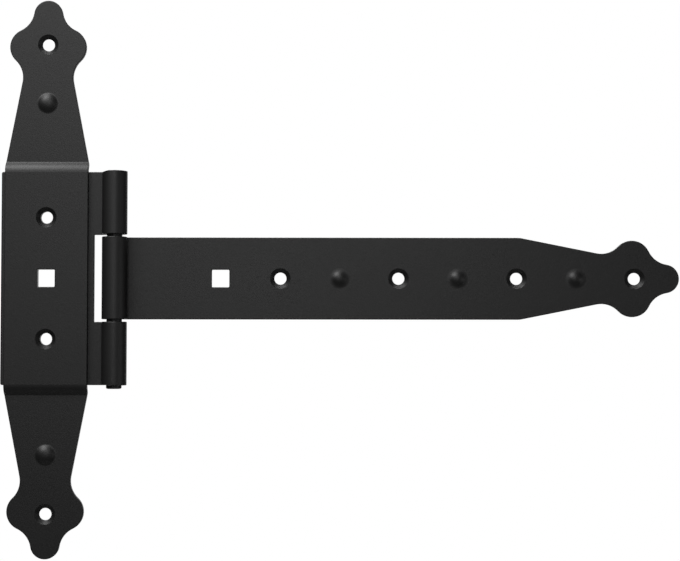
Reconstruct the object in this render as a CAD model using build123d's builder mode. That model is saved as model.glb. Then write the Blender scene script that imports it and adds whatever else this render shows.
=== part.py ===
"""Ornamental tee hinge in pressed and rolled steel sheet.

Millimetres, +Z up along the pin, +X along the strap. The front faces -Y and the back faces
lie on y = 0. The origin is the middle of the plate's square bolt hole, on the back face.
"""

from build123d import *

import os
from math import asin, atan, cos, radians, sin, sqrt, tan

# Driving dimensions: stock
sheet = 2.5
pin_d = 8.0
pin_clearance = 0.05
edge_round = 0.4

# Driving dimensions: knuckled plate
leaf_height = 111.0
leaf_reach = 59.5
leaf_corner_r = 1.0
lip_trim = 0.8
lip_trim_run = 4.2
notch_depth = 11.1
plate_axis_to_pin = 35.8
plate_screw_pitch = 63.2

# Driving dimensions: cross strap, laid over the plate
cross_length = 290.9
cross_width = 43.3
cross_taper_angle = 10.9
joggle_angle = 38.0
joggle_crown_r = 4.0
joggle_foot_r = 0.8

# Driving dimensions: long strap
strap_length = 300.0
strap_width = 42.7
strap_taper_angle = 11.3
strap_side_gap = 1.3
strap_screw_count = 4
strap_screw_pitch = 61.5
strap_bolt_to_screw = 31.1
eye_mouth = 0.3

# Driving dimensions: pressed end, the same on all three arms
nose_r = 7.5
hollow_r = 12.4
lobe_r = 9.75
lobe_from_tip = 24.5
lobe_off_axis = 10.2
neck_r = 12.2
neck_half_width = 13.1
shoulder_r = 10.0

# Driving dimensions: holes and domes
screw_hole_d = 6.3
countersink_d = 10.7
countersink_angle = 90.0
bolt_square = 9.1
bolt_square_r = 0.6
end_hole_from_tip = 23.2
dome_from_tip = 53.9
dome_flat_r = 0.2
cross_dome_d = 11.3
cross_dome_height = 1.85
cross_dome_crown_r = 7.2
strap_dome_d = 10.8
strap_dome_height = 1.45
strap_dome_crown_r = 5.2

# Driving dimensions: pin
pin_stand_out = 1.8
pin_chamfer = 0.5

# Sizes that follow from the driving ones
bore_r = pin_d / 2 + pin_clearance
eye_r = bore_r + sheet
pin_x = plate_axis_to_pin
pin_y = -eye_r
leaf_left = pin_x - leaf_reach
leaf_top = leaf_height / 2
eye_left = pin_x - eye_r
notch_left = pin_x - notch_depth
notch_height = strap_width + 2 * strap_side_gap
strap_tip = eye_left + strap_length


def eye_section(flat_end, toward):
    """Section of a flat sheet rolled round the pin; its flat runs toward -1 or +1 in X to flat_end."""
    lip_angle = asin((bore_r - eye_mouth) / eye_r)
    axis = Vector(pin_x, pin_y)
    to_lip = Vector(toward * cos(lip_angle), sin(lip_angle))
    to_bend = Vector(-toward, 0)
    with BuildSketch() as section:
        with BuildLine():
            back = Line((flat_end, 0), (pin_x, 0))
            outside = ThreePointArc(back @ 1, axis + to_bend * eye_r, axis + to_lip * eye_r)
            lip = Line(outside @ 1, axis + to_lip * bore_r)
            inside = ThreePointArc(lip @ 1, axis + to_bend * bore_r, (pin_x, -sheet))
            front = Line(inside @ 1, (flat_end, -sheet))
            Line(front @ 1, back @ 0)
        make_face()
    return section.sketch


def circle_between(centre_a, radius_a, centre_b, radius_b):
    """Centre at radius_a from one centre and radius_b from the other, on the left of the way there."""
    span = centre_b - centre_a
    along = (radius_a**2 - radius_b**2 + span.length**2) / (2 * span.length)
    across = sqrt(radius_a**2 - along**2)
    ahead = span.normalized()
    return centre_a + ahead * along + Vector(-ahead.Y, ahead.X) * across


def pressed_end(half_width, taper_angle):
    """Outline of one ornamental end, with its tip at the sketch's origin and its body toward +X."""
    slope = radians(taper_angle)
    nose_centre = Vector(nose_r, 0)
    lobe_centre = Vector(lobe_from_tip, lobe_off_axis)
    hollow_centre = circle_between(nose_centre, nose_r + hollow_r, lobe_centre, lobe_r + hollow_r)
    neck_rise = neck_half_width + neck_r - lobe_off_axis
    neck_run = sqrt((lobe_r + neck_r) ** 2 - neck_rise**2)
    neck_centre = lobe_centre + Vector(neck_run, neck_rise)
    nose_end = nose_centre + (hollow_centre - nose_centre).normalized() * nose_r
    hollow_end = lobe_centre + (hollow_centre - lobe_centre).normalized() * lobe_r
    lobe_end = lobe_centre + (neck_centre - lobe_centre).normalized() * lobe_r
    neck_end = neck_centre + Vector(sin(slope), -cos(slope)) * neck_r
    taper_rise = half_width - neck_end.Y
    corner = neck_end + Vector(taper_rise / tan(slope), taper_rise)
    ease = shoulder_r * tan(slope / 2)
    with BuildSketch() as outline:
        with BuildLine():
            nose = TangentArc((0, 0), nose_end, tangent=(0, 1))
            hollow = TangentArc(nose @ 1, hollow_end, tangent=nose % 1)
            lobe = TangentArc(hollow @ 1, lobe_end, tangent=hollow % 1)
            neck = TangentArc(lobe @ 1, neck_end, tangent=lobe % 1)
            taper = Line(neck @ 1, corner - Vector(cos(slope), sin(slope)) * ease)
            shoulder = TangentArc(taper @ 1, corner + Vector(ease, 0), tangent=taper % 1)
            across = Line(shoulder @ 1, ((shoulder @ 1).X, 0))
            Line(across @ 1, nose @ 0)
        make_face()
        mirror(about=Plane.XZ)
    return outline.sketch


def dome_section(diameter, height, crown_r, face_y):
    """Half section of a dome that rises forward from a face, its crown running into a hollow foot."""
    slope = 2 * atan(height / (diameter / 2 - dome_flat_r))
    turn = Vector(dome_flat_r + crown_r * sin(slope), face_y - height + crown_r * (1 - cos(slope)))
    with BuildSketch() as section:
        with BuildLine():
            flat = Line((0, face_y - height), (dome_flat_r, face_y - height))
            crown = TangentArc(flat @ 1, turn, tangent=flat % 1)
            foot = TangentArc(crown @ 1, (diameter / 2, face_y), tangent=crown % 1)
            base = Line(foot @ 1, (0, face_y))
            Line(base @ 1, flat @ 0)
        make_face()
    return section.sketch


def on_front(x, z, depth):
    """Place on a front face, looking out of it, for a screw hole."""
    return Plane(origin=(x, -depth, z), x_dir=(1, 0, 0), z_dir=(0, -1, 0))


def press_domes(places, diameter, height, crown_r):
    """Press domes forward out of the sheet of the current piece, with the same form behind each."""
    front = dome_section(diameter, height, crown_r, -sheet)
    back = dome_section(diameter, height, crown_r - sheet, 0)
    for x, z in places:
        spot = Location((x, 0, z))
        axis = Axis((x, 0, z), (0, 1, 0))
        revolve(front.moved(spot), axis=axis)
        revolve(back.moved(spot), axis=axis, mode=Mode.SUBTRACT)


def rolled_rim(piece):
    """Front rim of a rolled piece, with the rims of its eyes."""
    front = piece.faces().filter_by(Axis.Y).sort_by(Axis.Y)[0]
    bend_lines = [edge for edge in front.edges().filter_by(Axis.Z) if abs(edge.center().X - pin_x) < pin_d / 2]
    rim = ShapeList(edge for edge in front.edges() if not any(edge.is_same(bend) for bend in bend_lines))
    rolls = piece.faces().filter_by(GeomType.CYLINDER).filter_by(lambda face: abs(face.radius - eye_r) < sheet / 2)
    return rim + rolls.edges().filter_by(GeomType.CIRCLE)


def front_rim(piece):
    """Edges between the faces that look forward and the sides of the outline."""
    forward = piece.faces().filter_by(lambda face: face.normal_at().Y < -0.5)
    edges = [edge for face in forward for edge in face.edges()]
    return ShapeList(edge for edge in edges if sum(edge.is_same(other) for other in edges) == 1)


# Knuckled plate: two eyes, with a notch between them for the strap's eye
with BuildSketch(Plane.XZ) as leaf_outline:
    with Locations((leaf_left, 0)):
        RectangleRounded(
            leaf_reach + eye_r + leaf_corner_r, leaf_height, leaf_corner_r, align=(Align.MIN, Align.CENTER)
        )
    with Locations((notch_left, 0)):
        Rectangle(notch_depth + 2 * eye_r, notch_height, align=(Align.MIN, Align.CENTER), mode=Mode.SUBTRACT)

with BuildSketch(Plane.XZ.offset(sheet)) as lip_corners:
    Polygon(
        (eye_left + lip_trim_run, leaf_top),
        (eye_left - lip_trim_run, leaf_top - 2 * lip_trim),
        (eye_left - lip_trim_run, leaf_top + lip_trim),
        align=None,
    )
    mirror(about=Plane.XZ)

with BuildPart() as hinge_leaf:
    extrude(eye_section(leaf_left, -1), amount=leaf_top, both=True)
    extrude(leaf_outline.sketch, amount=2 * eye_r, mode=Mode.INTERSECT)
    fillet(rolled_rim(hinge_leaf), edge_round)
    extrude(lip_corners.sketch, amount=2 * eye_r, mode=Mode.SUBTRACT)
    with BuildSketch(Plane.XZ):
        RectangleRounded(bolt_square, bolt_square, bolt_square_r)
        with GridLocations(0, plate_screw_pitch, 1, 2):
            Circle(screw_hole_d / 2)
    extrude(amount=sheet, mode=Mode.SUBTRACT)

hinge_leaf.part.label = "hinge_leaf"

# Cross strap: joggled over the plate's rounded rim, so that its ends lie on the post as the plate does
half_joggle = tan(radians(joggle_angle) / 2)
crown_mid_r = joggle_crown_r + sheet / 2
foot_mid_r = joggle_foot_r + sheet / 2
joggle_top = leaf_top - edge_round + crown_mid_r * half_joggle
joggle_foot = joggle_top + sheet / tan(radians(joggle_angle))
low_middle = -sheet / 2
high_middle = -sheet - sheet / 2

cross_end = pressed_end(cross_width / 2, cross_taper_angle)
cross_tip = cross_length / 2
cross_shoulder = cross_tip - cross_end.bounding_box().size.X
cross_end_hole = cross_tip - end_hole_from_tip
cross_dome = cross_tip - dome_from_tip

with BuildSketch(Plane.YZ) as joggled_section:
    with BuildLine():
        FilletPolyline(
            (low_middle, cross_tip),
            (low_middle, joggle_foot),
            (high_middle, joggle_top),
            (high_middle, -joggle_top),
            (low_middle, -joggle_foot),
            (low_middle, -cross_tip),
            radius=(foot_mid_r, crown_mid_r, crown_mid_r, foot_mid_r),
        )
    trace(line_width=sheet)

with BuildSketch(Plane.XZ) as cross_outline:
    Rectangle(cross_width, 2 * cross_shoulder)
    with Locations((0, cross_tip)):
        add(cross_end, rotation=-90)
    with Locations((0, -cross_tip)):
        add(cross_end, rotation=90)
    RectangleRounded(bolt_square, bolt_square, bolt_square_r, mode=Mode.SUBTRACT)

with BuildPart() as cross_strap:
    extrude(joggled_section.sketch, amount=cross_width / 2, both=True)
    extrude(cross_outline.sketch, amount=2 * sheet, mode=Mode.INTERSECT)
    fillet(front_rim(cross_strap), edge_round)
    with Locations(*(on_front(0, side * plate_screw_pitch / 2, 2 * sheet) for side in (-1, 1))):
        CounterSinkHole(screw_hole_d / 2, countersink_d / 2, 2 * sheet, countersink_angle)
    with Locations(*(on_front(0, side * cross_end_hole, sheet) for side in (-1, 1))):
        CounterSinkHole(screw_hole_d / 2, countersink_d / 2, sheet, countersink_angle)
    press_domes([(0, side * cross_dome) for side in (-1, 1)], cross_dome_d, cross_dome_height, cross_dome_crown_r)

cross_strap.part.label = "cross_strap"

# Long strap: rolled round the pin at one end and pressed to the ornamental outline at the other
strap_end = pressed_end(strap_width / 2, strap_taper_angle)
strap_end_length = strap_end.bounding_box().size.X
strap_end_hole = strap_tip - end_hole_from_tip
strap_screws = [strap_end_hole - turn * strap_screw_pitch for turn in range(strap_screw_count)]
strap_bolt = strap_screws[-1] - strap_bolt_to_screw
strap_end_dome = strap_tip - dome_from_tip
strap_domes = [strap_end_dome - turn * strap_screw_pitch for turn in range(strap_screw_count - 1)]

with BuildSketch(Plane.XZ) as strap_outline:
    with Locations((eye_left, 0)):
        Rectangle(strap_length - strap_end_length, strap_width, align=(Align.MIN, Align.CENTER))
    with Locations((strap_tip, 0)):
        add(strap_end, rotation=180)
    with Locations((strap_bolt, 0)):
        RectangleRounded(bolt_square, bolt_square, bolt_square_r, mode=Mode.SUBTRACT)

with BuildPart() as long_strap:
    extrude(eye_section(strap_tip, 1), amount=strap_width / 2, both=True)
    extrude(strap_outline.sketch, amount=2 * eye_r, mode=Mode.INTERSECT)
    fillet(rolled_rim(long_strap), edge_round)
    with Locations(*(on_front(x, 0, sheet) for x in strap_screws)):
        CounterSinkHole(screw_hole_d / 2, countersink_d / 2, sheet, countersink_angle)
    press_domes([(x, 0) for x in strap_domes], strap_dome_d, strap_dome_height, strap_dome_crown_r)

long_strap.part.label = "long_strap"

# Pin: held by the plate's two eyes, flush above them and standing out below
with BuildPart(Plane.XY.offset(-leaf_top - pin_stand_out)) as hinge_pin:
    with Locations((pin_x, pin_y)):
        Cylinder(pin_d / 2, leaf_height + pin_stand_out, align=(Align.CENTER, Align.CENTER, Align.MIN))
    chamfer(hinge_pin.edges().filter_by(GeomType.CIRCLE), pin_chamfer)

hinge_pin.part.label = "hinge_pin"

os.makedirs("parts", exist_ok=True)
export_step(hinge_leaf.part, "parts/hinge_leaf.step")
export_step(cross_strap.part, "parts/cross_strap.step")
export_step(long_strap.part, "parts/long_strap.step")
export_step(hinge_pin.part, "parts/hinge_pin.step")
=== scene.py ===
from math import cos, pi, radians, sin

import bpy
from mathutils import Matrix, Vector

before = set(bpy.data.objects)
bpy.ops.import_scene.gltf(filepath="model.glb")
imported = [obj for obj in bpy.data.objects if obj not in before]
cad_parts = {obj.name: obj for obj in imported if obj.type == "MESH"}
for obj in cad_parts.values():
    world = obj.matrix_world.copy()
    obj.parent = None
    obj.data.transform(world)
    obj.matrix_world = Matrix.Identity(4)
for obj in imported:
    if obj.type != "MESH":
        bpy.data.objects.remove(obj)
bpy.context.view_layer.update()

sheets = ("hinge_leaf", "cross_strap", "long_strap")

# Camera, in metres, degrees and pixels: it looks at a point on the back plane from a little below
aim = Vector((0.15263, 0.0, -0.00092))
camera_distance = 0.900
camera_turn = 0.301
camera_rise = -2.309
camera_roll = 0.048
image_width = 680
focal_pixels = 1724.6
sensor_mm = 36.0

# Studio, in metres
floor_height = -2.20
floor_reach = 30.0
backdrop_away = 2.40
backdrop_half_width = 1.6
backdrop_half_height = 3.0

# Light: strength of the even light all round, and where on the X axis the lamps shine, in metres
air_light = 0.08
lamp_aim_x = 0.05
back_lamp_aim_x = 0.10

# Powder coat: sizes of its pattern in millimetres, depths in metres
grain_size = 0.7
peel_size = 3.0
pass_size = 45.0
grain_depth = 0.00010
peel_depth = 0.00006
grain_strength = 0.55
peel_strength = 0.25
coat_ior = 1.45


def linear(code):
    """Linear colour of an sRGB hex code."""
    channels = [int(code[n:n + 2], 16) / 255 for n in (1, 3, 5)]
    return [c / 12.92 if c <= 0.04045 else ((c + 0.055) / 1.055) ** 2.4 for c in channels] + [1.0]


def per_metre(size_mm):
    """Texture scale that gives features of a real size."""
    return 1000 / size_mm


def add(tree, kind, settings=None, inputs=None):
    """Adds a node with its settings, and with a value or a link on each of its inputs."""
    made = tree.nodes.new(kind)
    for name, value in (settings or {}).items():
        setattr(made, name, value)
    for socket, value in (inputs or {}).items():
        if isinstance(value, bpy.types.NodeSocket):
            tree.links.new(value, made.inputs[socket])
        else:
            made.inputs[socket].default_value = value
    return made


def blank_material(name):
    """Material with an empty node tree."""
    material = bpy.data.materials.new(name)
    material.use_nodes = True
    material.node_tree.nodes.clear()
    return material, material.node_tree


def powder_coat(name, dark, light, smooth, rough):
    """Fine-textured polyester powder coat, sprayed and baked. It gives the eye a near-black skin with a
    broad, soft sheen and a close grain."""
    material, tree = blank_material(name)
    place = add(tree, "ShaderNodeTexCoord").outputs["Object"]
    # The real grain is about 0.2 mm and wouldn't show, so it is drawn at 0.7 mm
    grain = add(tree, "ShaderNodeTexNoise", inputs={
        "Vector": place, "Scale": per_metre(grain_size), "Detail": 3.0, "Roughness": 0.6})
    # Orange peel, where the powder flowed together in the oven
    peel = add(tree, "ShaderNodeTexNoise", inputs={
        "Vector": place, "Scale": per_metre(peel_size), "Detail": 2.0})
    # Thicker and thinner passes of the spray gun
    passes = add(tree, "ShaderNodeTexNoise", inputs={
        "Vector": place, "Scale": per_metre(pass_size), "Detail": 2.0})
    shade = add(tree, "ShaderNodeMix", {"data_type": "RGBA"}, {
        "Factor": grain.outputs["Fac"], "A": linear(dark), "B": linear(light)})
    polish = add(tree, "ShaderNodeMapRange", inputs={
        "Value": passes.outputs["Fac"], "From Min": 0.3, "From Max": 0.7, "To Min": smooth, "To Max": rough})
    waves = add(tree, "ShaderNodeBump", inputs={
        "Strength": peel_strength, "Distance": peel_depth, "Height": peel.outputs["Fac"]})
    texture = add(tree, "ShaderNodeBump", inputs={
        "Strength": grain_strength, "Distance": grain_depth, "Height": grain.outputs["Fac"],
        "Normal": waves.outputs["Normal"]})
    skin = add(tree, "ShaderNodeBsdfPrincipled", inputs={
        "Base Color": shade.outputs["Result"], "Roughness": polish.outputs["Result"],
        "Normal": texture.outputs["Normal"], "IOR": coat_ior})
    add(tree, "ShaderNodeOutputMaterial", inputs={"Surface": skin.outputs["BSDF"]})
    return material


def shown_white(name, colour):
    """Painted board that cameras and reflections see as plain white."""
    material, tree = blank_material(name)
    path = add(tree, "ShaderNodeLightPath").outputs
    mirrored = add(tree, "ShaderNodeMath", {"operation": "MAXIMUM"}, {
        0: path["Is Glossy Ray"], 1: path["Is Transmission Ray"]})
    seen = add(tree, "ShaderNodeMath", {"operation": "MAXIMUM"}, {
        0: path["Is Camera Ray"], 1: mirrored.outputs["Value"]})
    paint = add(tree, "ShaderNodeBsdfDiffuse", inputs={"Color": linear(colour)})
    white = add(tree, "ShaderNodeEmission", inputs={"Color": linear("#ffffff"), "Strength": 1.0})
    mix = add(tree, "ShaderNodeMixShader", inputs={
        0: seen.outputs["Value"], 1: paint.outputs["BSDF"], 2: white.outputs["Emission"]})
    add(tree, "ShaderNodeOutputMaterial", inputs={"Surface": mix.outputs["Shader"]})
    return material


def painted_board(name, colour):
    """Matt floor paint, rolled on. It gives the eye a pale, dull ground."""
    material, tree = blank_material(name)
    paint = add(tree, "ShaderNodeBsdfPrincipled", inputs={"Base Color": linear(colour), "Roughness": 0.8})
    add(tree, "ShaderNodeOutputMaterial", inputs={"Surface": paint.outputs["BSDF"]})
    return material


def board(name, corners, material):
    """Flat stage board with four corners."""
    mesh = bpy.data.meshes.new(name)
    mesh.from_pydata(corners, [], [(0, 1, 2, 3)])
    mesh.materials.append(material)
    made = bpy.data.objects.new(name, mesh)
    bpy.context.scene.collection.objects.link(made)


def softbox(name, aim_x, turn, rise, away, width, height, radiance):
    """Soft rectangular lamp that isn't seen itself. It shines on a point of the X axis, and is turned and
    raised from the front by so many degrees."""
    lamp = bpy.data.lights.new(name, "AREA")
    lamp.shape = "RECTANGLE"
    lamp.size = width
    lamp.size_y = height
    lamp.energy = radiance * pi * width * height
    made = bpy.data.objects.new(name, lamp)
    turn, rise = radians(turn), radians(rise)
    out = Vector((sin(turn) * cos(rise), -cos(turn) * cos(rise), sin(rise)))
    made.location = Vector((aim_x, 0.0, 0.0)) + out * away
    made.rotation_euler = out.to_track_quat("Z", "Y").to_euler()
    made.visible_camera = False
    bpy.context.scene.collection.objects.link(made)


# Finishes
sheet_coat = powder_coat("black_powder_coat", dark="#0a0a0a", light="#101010", smooth=0.44, rough=0.48)
pin_coat = powder_coat("black_coated_pin", dark="#090909", light="#0e0e0e", smooth=0.42, rough=0.46)
for node in sheets:
    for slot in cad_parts[node].material_slots:
        slot.material = sheet_coat
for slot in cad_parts["hinge_pin"].material_slots:
    slot.material = pin_coat

# Stage
board("studio_floor", [
    (-floor_reach, -floor_reach, floor_height), (floor_reach, -floor_reach, floor_height),
    (floor_reach, backdrop_away, floor_height), (-floor_reach, backdrop_away, floor_height),
], painted_board("floor_paint", "#e6e6e6"))
board("studio_backdrop", [
    (-backdrop_half_width, backdrop_away, -backdrop_half_height),
    (backdrop_half_width, backdrop_away, -backdrop_half_height),
    (backdrop_half_width, backdrop_away, backdrop_half_height),
    (-backdrop_half_width, backdrop_away, backdrop_half_height),
], shown_white("backdrop_paint", "#e6e6e6"))

# Light
world = bpy.data.worlds.new("studio_air")
bpy.context.scene.world = world
world.use_nodes = True
air = world.node_tree.nodes["Background"].inputs
air["Color"].default_value = linear("#ffffff")
air["Strength"].default_value = air_light
softbox("key_softbox", lamp_aim_x, turn=-37, rise=52, away=1.15, width=0.60, height=0.85, radiance=10.4)
softbox("front_softbox", lamp_aim_x, turn=2, rise=21, away=1.0, width=0.45, height=0.90, radiance=2.0)
softbox("side_softbox", lamp_aim_x, turn=63, rise=-6, away=1.15, width=0.9, height=0.3, radiance=1.2)
softbox("back_softbox", back_lamp_aim_x, turn=172, rise=50, away=1.2, width=1.05, height=0.75, radiance=7.0)

# Camera
turn, rise, roll = radians(camera_turn), radians(camera_rise), radians(camera_roll)
ahead = Vector((sin(turn) * cos(rise), cos(turn) * cos(rise), -sin(rise)))
lens = bpy.data.cameras.new("photo_camera")
lens.sensor_width = sensor_mm
lens.lens = focal_pixels / image_width * sensor_mm
camera = bpy.data.objects.new("photo_camera", lens)
camera.matrix_world = (Matrix.Translation(aim - ahead * camera_distance)
                       @ ahead.to_track_quat("-Z", "Y").to_matrix().to_4x4() @ Matrix.Rotation(roll, 4, "Z"))
bpy.context.scene.collection.objects.link(camera)
bpy.context.scene.camera = camera
bpy.context.scene.view_settings.view_transform = "Standard"
